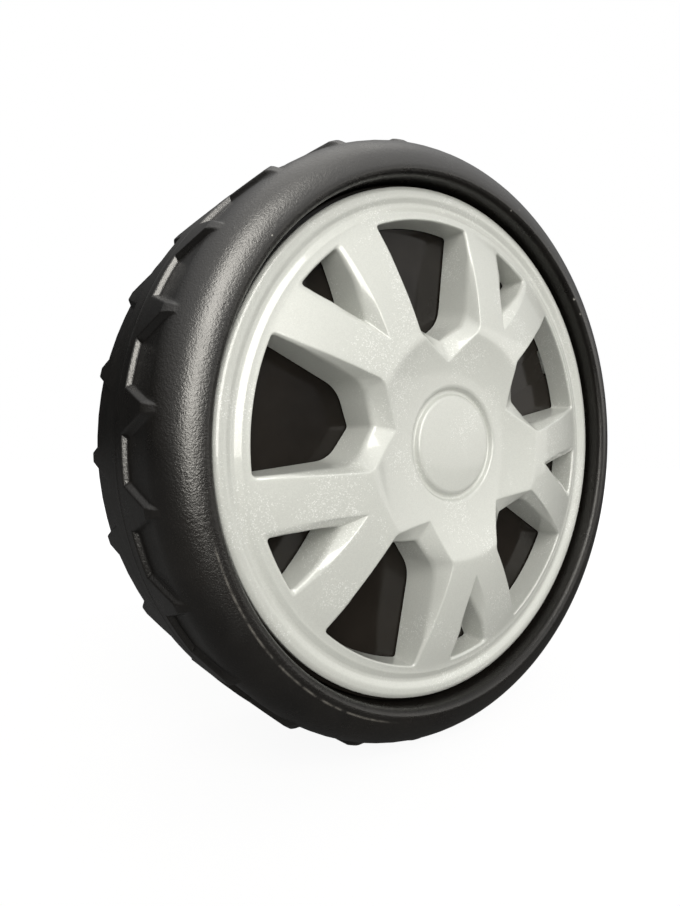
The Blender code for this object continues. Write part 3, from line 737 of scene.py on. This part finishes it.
def capSegment(plan):
    bm = bmesh.new()
    sector = pi / plan["spokes"]
    size = plan["meshSize"]
    fine, coarse = plan["fineSteps"], plan["coarseSteps"]
    smallRows, smallEdge, smallFoot = windowRows(smallWindow, False)
    largeRows, largeEdge, largeFoot = windowRows(largeWindow, True)
    addStrips(bm, smallRows)
    addStrips(bm, largeRows)

    # Face
    small = [toSector(p, False) for p in smallEdge]
    large = [toSector(p, True) for p in largeEdge]
    hub = arcPoints(plan["grooveRadius"], 0, sector, coarse)
    ridge = arcPoints(plan["ridgeRadius"], 0, sector, fine)
    outline = [hub[0]] + spaced(hub[0], small[0], size) + small + [ridge[0]]
    outline += ridge[1:] + list(reversed(large)) + spaced(large[0], hub[-1], size) + list(reversed(hub))[:-1]
    fillRegion(bm, outline, faceY, size)

    # Ring from the ridge over the bead to the skirt
    corners = [(plan["ridgeRadius"], faceY(plan["ridgeRadius"]), 0)]
    corners += [(radius * mm, plan["face"] - rise * mm, soft * mm) for radius, rise, soft in bead]
    corners += [(plan["outerRadius"], plan["skirtFront"], 0), (plan["skirtRadius"], plan["skirtFront"], 0),
                (plan["skirtRadius"], plan["foot"], 0)]
    addStrips(bm, [lift(arcPoints(p.x, 0, sector, fine), p.y) for p in softLine(corners, 5, 0.5)])

    # Middle disc and its groove
    corners = [(plan["grooveRadius"], faceY(plan["grooveRadius"]), 0)]
    corners += [(radius * mm, plan["face"] - rise * mm, soft * mm) for radius, rise, soft in disc]
    addStrips(bm, [lift(arcPoints(p.x, 0, sector, coarse), p.y) for p in softLine(corners, 4, 0.45)])

    # Underside, open between the window walls
    smallWall = [toSector(p, False) for p in upTo(offsetLoop(smallFoot, plan["wall"]), plan["skirtInner"])]
    largeWall = [toSector(p, True) for p in upTo(offsetLoop(largeFoot, plan["wall"]), plan["skirtInner"])]
    lowest = plan["face"] - plan["bevelRise"] + plan["bevelSkin"]
    under = lambda radius: max(faceY(radius) + plan["skin"], lowest)
    socket = arcPoints(plan["socketOuter"], 0, sector, coarse)
    first, last = smallWall[-1], largeWall[-1]
    upwards = Vector((0, 1))
    skirt = arcPoints(plan["skirtInner"], upwards.angle_signed(first), upwards.angle_signed(last), 12)
    skirt[0], skirt[-1] = first, last
    outline = [socket[0]] + spaced(socket[0], smallWall[0], size) + smallWall + skirt[1:-1]
    outline += list(reversed(largeWall))
    outline += spaced(largeWall[0], socket[-1], size) + list(reversed(socket))[:-1]
    fillRegion(bm, outline, under, 2 * size)
    for wall in (smallWall, skirt, largeWall):
        addStrips(bm, [lift(wall, under), lift(wall, plan["foot"])])
    smallFoot = [toSector(p, False) for p in smallFoot]
    largeFoot = [toSector(p, True) for p in largeFoot]
    rim = arcPoints(plan["skirtRadius"], 0, sector, fine)
    outline = rim + list(reversed(largeFoot)) + largeWall + list(reversed(skirt))[1:-1]
    outline += list(reversed(smallWall))
    fillRegion(bm, outline + smallFoot, plan["foot"])
    profile = [(plan["socketOuter"], under(plan["socketOuter"])), (plan["socketOuter"], plan["foot"]),
               (plan["socketRadius"], plan["foot"]), (plan["socketRadius"], plan["socketTop"]),
               (0.0, plan["socketTop"])]
    addStrips(bm, [lift(arcPoints(radius, 0, sector, coarse), y) for radius, y in profile])

    # The mirrored half
    copied = bmesh.ops.duplicate(bm, geom=bm.verts[:] + bm.edges[:] + bm.faces[:])["geom"]
    verts = [item for item in copied if isinstance(item, bmesh.types.BMVert)]
    for vert in verts:
        vert.co.x = -vert.co.x
    turn = firstSmallWindow
    for vert in bm.verts:
        x, z = vert.co.x, vert.co.z
        vert.co.x, vert.co.z = x * cos(turn) + z * sin(turn), z * cos(turn) - x * sin(turn)
    return bm


cap = spunPiece("hub_cap_shell", capSegment(capPlan), capPlan["spokes"], silver, crease=40.0)
fit(cap, "wheel", ["hub_cap"])
print("hub cap ready")


# Snap hooks behind the cap

hookPlan = {"count": 3, "inner": 65.5 * mm, "outer": 67.0 * mm, "width": 9.0 * mm, "root": -23.2 * mm,
            "catch": -14.0 * mm, "end": -12.3 * mm, "lip": 0.6 * mm, "catchDepth": 0.5 * mm, "nose": 0.3 * mm,
            "edge": 0.15 * mm}


def hookSegment(plan):
    tip = plan["outer"] + plan["lip"]
    side = [(plan["inner"], plan["root"]), (plan["outer"], plan["root"]), (plan["outer"], plan["catch"]),
            (tip, plan["catch"]), (tip, plan["catch"] + plan["catchDepth"]),
            (plan["outer"] - plan["nose"], plan["end"]), (plan["inner"], plan["end"])]
    bm = prism(side, firstHook, plan["width"] / 2)
    bmesh.ops.bevel(bm, geom=bm.edges[:], offset=plan["edge"], segments=2, profile=0.5, affect="EDGES")
    return bm


hooks = spunPiece("hub_cap_hooks", hookSegment(hookPlan), hookPlan["count"], silver)
fit(hooks, "wheel", [])


# Rim

rimPlan = {"flange": 76.0 * mm, "seat": 71.0 * mm, "half": 20.0 * mm, "side": 22.5 * mm, "key": 73.5 * mm,
           "keyHalf": 3.0 * mm, "bore": 68.0 * mm, "webFront": -17.3 * mm, "webRear": -14.3 * mm,
           "hub": 18.5 * mm, "hubFront": -20.0 * mm, "hubRear": 23.5 * mm, "bearing": 14.3 * mm,
           "shoulder": 12.4 * mm, "frontShoulder": -8.7 * mm, "rearShoulder": 14.7 * mm, "steps": 160,
           "ribs": 12, "ribThickness": 2.4 * mm, "ribOuterRear": 10.0 * mm, "ribInnerRear": 19.0 * mm,
           "ribEdge": 0.35 * mm, "slotFlex": 1.2 * mm, "slotGap": 0.3 * mm}


def rimBody(p):  # p is the rim's plan
    corners = [(p["flange"], -p["side"], 0.5), (p["flange"], -p["half"], 0.4), (p["seat"], -p["half"], 0.4),
               (p["seat"], -p["keyHalf"], 0.3), (p["key"], -p["keyHalf"], 0.4), (p["key"], p["keyHalf"], 0.4),
               (p["seat"], p["keyHalf"], 0.3), (p["seat"], p["half"], 0.4), (p["flange"], p["half"], 0.4),
               (p["flange"], p["side"], 0.6), (p["bore"], p["side"], 0.6), (p["bore"], p["webRear"], 1.2),
               (p["hub"], p["webRear"], 1.2), (p["hub"], p["hubRear"], 0.6),
               (p["bearing"], p["hubRear"], 0.4), (p["bearing"], p["rearShoulder"], 0.2),
               (p["shoulder"], p["rearShoulder"], 0.2), (p["shoulder"], p["frontShoulder"], 0.2),
               (p["bearing"], p["frontShoulder"], 0.2), (p["bearing"], p["hubFront"], 0.4),
               (p["hub"], p["hubFront"], 0.5), (p["hub"], p["webFront"], 0.8),
               (p["bore"], p["webFront"], 0.8), (p["bore"], -p["side"], 0.5)]
    bm = bmesh.new()
    turnedMesh(bm, softProfile([(radius, y, soft * mm) for radius, y, soft in corners]), p["steps"])
    return finishedPiece("rim_body", bm, black)


def ribSegment(plan):
    inner, outer = (plan["hub"] + plan["bearing"]) / 2, (plan["bore"] + plan["seat"]) / 2
    sunk = (plan["webFront"] + plan["webRear"]) / 2
    side = [(inner, sunk), (outer, sunk), (outer, plan["ribOuterRear"]), (inner, plan["ribInnerRear"])]
    bm = prism(side, firstHook + pi / plan["ribs"], plan["ribThickness"] / 2)
    bmesh.ops.bevel(bm, geom=bm.edges[:], offset=plan["ribEdge"], segments=3, profile=0.5, affect="EDGES")
    return bm


def joined(piece, tool, operation):  # adds the tool to the piece or cuts it out
    step = piece.modifiers.new("join", "BOOLEAN")
    step.operation = operation
    step.object = tool
    mesh = bpy.data.meshes.new_from_object(piece.evaluated_get(bpy.context.evaluated_depsgraph_get()))
    piece.modifiers.remove(step)
    bpy.data.objects.remove(tool)
    piece.data = mesh
    mesh.shade_smooth()
    mesh.set_sharp_from_angle(angle=radians(plainCrease))


def slotSegment(plan):  # a cutter that runs past both faces of the web
    low, high = hookPlan["inner"] - plan["slotFlex"], hookPlan["outer"] + plan["slotGap"]
    front, rear = plan["webFront"] - 1.0 * mm, plan["webRear"] + 1.5 * mm
    side = [(low, front), (high, front), (high, rear), (low, rear)]
    return prism(side, firstHook, hookPlan["width"] / 2 + plan["slotGap"])


rim = rimBody(rimPlan)
joined(rim, spunPiece("ribs", ribSegment(rimPlan), rimPlan["ribs"], black), "UNION")
joined(rim, spunPiece("slots", slotSegment(rimPlan), hookPlan["count"], black), "DIFFERENCE")
fit(rim, "wheel", ["rim"])
print("rim ready")


# Bearings, with sizes in mm, and the sleeve between them

bearingPlan = {"bore": 6.0, "outer": 14.0, "half": 4.0, "ball": 2.381, "balls": 9, "ballGap": 0.1,
               "innerLand": 8.6, "outerLand": 11.4, "shieldSeat": 12.7, "shieldDepth": 1.1, "shield": 0.4,
               "shieldGap": 0.3, "dish": 0.12, "steps": 96}


def bearing(prefix, middle, plan):
    half, rebate = plan["half"], plan["half"] - plan["shieldDepth"]
    pitch = (plan["innerLand"] + plan["outerLand"]) / 2
    groove = plan["ball"] + plan["ballGap"]
    limit = asin(sqrt(groove ** 2 - (pitch - plan["innerLand"]) ** 2) / groove)
    arc = [limit * (i / 6 - 1) for i in range(13)]
    outerArc = [(pitch + groove * cos(t), groove * sin(t), 0) for t in reversed(arc)]
    innerArc = [(pitch - groove * cos(t), groove * sin(t), 0) for t in arc]
    outer = [(plan["outer"], -half, 0.5), (plan["outer"], half, 0.5), (plan["shieldSeat"], half, 0.15),
             (plan["shieldSeat"], rebate, 0), (plan["outerLand"], rebate, 0.1)] + outerArc
    outer += [(plan["outerLand"], -rebate, 0.1), (plan["shieldSeat"], -rebate, 0),
              (plan["shieldSeat"], -half, 0.15)]
    inner = [(plan["bore"], -half, 0.4), (plan["innerLand"], -half, 0.25)] + innerArc
    inner += [(plan["innerLand"], half, 0.25), (plan["bore"], half, 0.4)]

    def turned(name, corners, finish, body, slot):
        bm = bmesh.new()
        scaled = [(radius * mm, middle + y * mm, soft * mm) for radius, y, soft in corners]
        turnedMesh(bm, softProfile(scaled, 3), plan["steps"])
        piece = finishedPiece(f"{prefix}_{name}_turned", bm, finish)
        fit(piece, body, [f"{prefix}_{name}"])

    turned("outer_ring", outer, ringSteel, "wheel", "bearing_steel")
    turned("inner_ring", inner, ringSteel, "axle_side", "bearing_steel")
    for sign, word in ((-1, "front"), (1, "rear")):
        near = sign * (rebate + plan["shieldGap"])
        far = near + sign * plan["shield"]
        low, high = plan["innerLand"] + plan["shieldGap"], plan["shieldSeat"] - plan["shieldGap"]
        dish = sign * plan["dish"]  # depth of the pressed ring in the shield's face
        section = [(low, near, 0.1), (high, near, 0.1), (high, far, 0.15), (high - 0.9, far, 0.2),
                   (high - 1.2, far - dish, 0.2), (low + 0.9, far - dish, 0.2), (low + 0.6, far, 0.2),
                   (low, far, 0.15)]
        turned(f"{word}_shield", section, shieldSteel, "wheel", "shield_steel")

    ball = bmesh.new()
    bmesh.ops.create_uvsphere(ball, u_segments=28, v_segments=16, radius=plan["ball"] * mm)
    bmesh.ops.translate(ball, verts=ball.verts[:], vec=around(pitch * mm, pi / plan["balls"], middle))
    balls = spunPiece(f"{prefix}_ball_set", ball, plan["balls"], ballSteel)
    nodes = [f"{prefix}_ball_{k + 1}" for k in range(plan["balls"])]
    fit(balls, prefix.replace("bearing", "ball_set"), nodes)
    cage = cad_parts[f"{prefix}_cage"]
    cage.data.materials.clear()
    cage.data.materials.append(nylon)


bearing("front_bearing", -13.0 * mm, bearingPlan)
bearing("rear_bearing", 19.0 * mm, bearingPlan)

sleevePlan = {"bore": 6.2 * mm, "outer": 8.3 * mm, "edge": 0.3 * mm, "steps": 72}
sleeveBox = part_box("spacer_sleeve")
bore, outer, edge = sleevePlan["bore"], sleevePlan["outer"], sleevePlan["edge"]
front, rear = sleeveBox[0][1], sleeveBox[1][1]
sleeveCorners = [(bore, front, edge), (outer, front, edge), (outer, rear, edge), (bore, rear, edge)]
sleeve = bmesh.new()
turnedMesh(sleeve, softProfile(sleeveCorners, 3), sleevePlan["steps"])
fit(finishedPiece("sleeve_turned", sleeve, zinc), "axle_side", ["spacer_sleeve"])
print("bearings ready")


# Floor, light and camera

def studio():
    light = {"dim": 0.02, "bright": 1.0, "start": -0.15, "full": 1.10, "towards": (0.0, -0.40, 0.92),
             "diffuse": 0.70, "floorTone": (0.4, 0.4, 0.4), "floorShare": 0.80, "floorGlow": 1.16,
             "floorMirror": 0.05, "mirrorShare": 0.90, "near": 0.20, "far": 0.60, "floorRadius": 2.5,
             "floorGap": 0.3 * mm, "tint": (1.0, 0.98, 0.93)}
    world = bpy.data.worlds.new("studio")
    bpy.context.scene.world = world
    world.use_nodes = True
    tree = world.node_tree
    background = tree.nodes["Background"].inputs
    background["Color"].default_value = (1.0, 1.0, 1.0, 1.0)
    direction = addNode(tree, "ShaderNodeTexCoord").outputs["Generated"]
    inputs = {0: direction, 1: light["towards"]}
    height = addNode(tree, "ShaderNodeVectorMath", inputs, operation="DOT_PRODUCT").outputs["Value"]
    room = ranged(tree, height, light["dim"], light["bright"], light["start"], light["full"], "SMOOTHSTEP")
    path = addNode(tree, "ShaderNodeLightPath").outputs
    mirrored = calculated(tree, "MAXIMUM", path["Is Glossy Ray"], path["Is Transmission Ray"])
    share = calculated(tree, "MAXIMUM", mirrored, light["diffuse"])
    lit = calculated(tree, "MULTIPLY", room, share)
    tree.links.new(calculated(tree, "MAXIMUM", lit, path["Is Camera Ray"]), background["Strength"])

    floorPaint, tree, _, place = newMaterial("floorPaint", light["floorTone"], 0.9, Specular_IOR_Level=0.1)
    path = addNode(tree, "ShaderNodeLightPath").outputs
    away = addNode(tree, "ShaderNodeVectorMath", {0: place}, operation="LENGTH").outputs["Value"]
    fade = ranged(tree, away, light["floorShare"], light["bright"], light["near"], light["far"])
    seen = calculated(tree, "MULTIPLY", path["Is Camera Ray"], fade)
    mirrored = calculated(tree, "MAXIMUM", path["Is Glossy Ray"], path["Is Transmission Ray"])
    mirrored = calculated(tree, "MULTIPLY", mirrored, light["mirrorShare"])
    level = ranged(tree, path["Is Camera Ray"], light["floorMirror"], light["floorGlow"], 0.0, 1.0)
    glow = addNode(tree, "ShaderNodeEmission", {"Strength": level}).outputs[0]
    plain = tree.nodes["Principled BSDF"].outputs[0]
    glowShare = calculated(tree, "MAXIMUM", seen, mirrored)
    mix = addNode(tree, "ShaderNodeMixShader", {0: glowShare, 1: plain, 2: glow})
    tree.links.new(mix.outputs[0], tree.nodes["Material Output"].inputs["Surface"])

    bm = bmesh.new()
    bmesh.ops.create_circle(bm, cap_ends=True, segments=96, radius=light["floorRadius"])
    bmesh.ops.translate(bm, verts=bm.verts[:], vec=(0, 0, cadBox[0][2] - light["floorGap"]))
    floor = finishedPiece("floor", bm, floorPaint)

    lamps = (("keyLight", (-0.44, -0.98, 0.50), (0.60, 1.30), 15.0),
             ("fillLight", (0.95, -0.75, -0.02), (0.8, 0.8), 2.0),
             ("topLight", (0.1, 0.1, 1.2), (0.9, 0.9), 1.5),
             ("backLight", (0.80, 0.95, 0.05), (0.8, 0.7), 14.0))
    for name, place, size, power in lamps:
        lamp = bpy.data.lights.new(name, "AREA")
        lamp.shape = "RECTANGLE"
        lamp.size, lamp.size_y = size
        lamp.energy = power
        lamp.color = light["tint"]
        holder = bpy.data.objects.new(name, lamp)
        holder.location = place
        holder.rotation_euler = (-Vector(place)).to_track_quat("-Z", "Y").to_euler()
        bpy.context.collection.objects.link(holder)
        holder.visible_camera = False

    view = {"place": (-0.1315, -0.1526, -0.0002), "turn": (89.150, -0.617, -35.967), "lens": 23.849,
            "sensor": 36.0}
    camera = bpy.data.cameras.new("photoCamera")
    camera.sensor_fit = "VERTICAL"
    camera.sensor_height = view["sensor"]
    camera.lens = view["lens"]
    camera.clip_start = 0.01
    holder = bpy.data.objects.new("photoCamera", camera)
    holder.location = view["place"]
    holder.rotation_euler = [radians(angle) for angle in view["turn"]]
    bpy.context.collection.objects.link(holder)
    bpy.context.scene.camera = holder
    bpy.context.scene.view_settings.view_transform = "Standard"


studio()
print("studio ready")
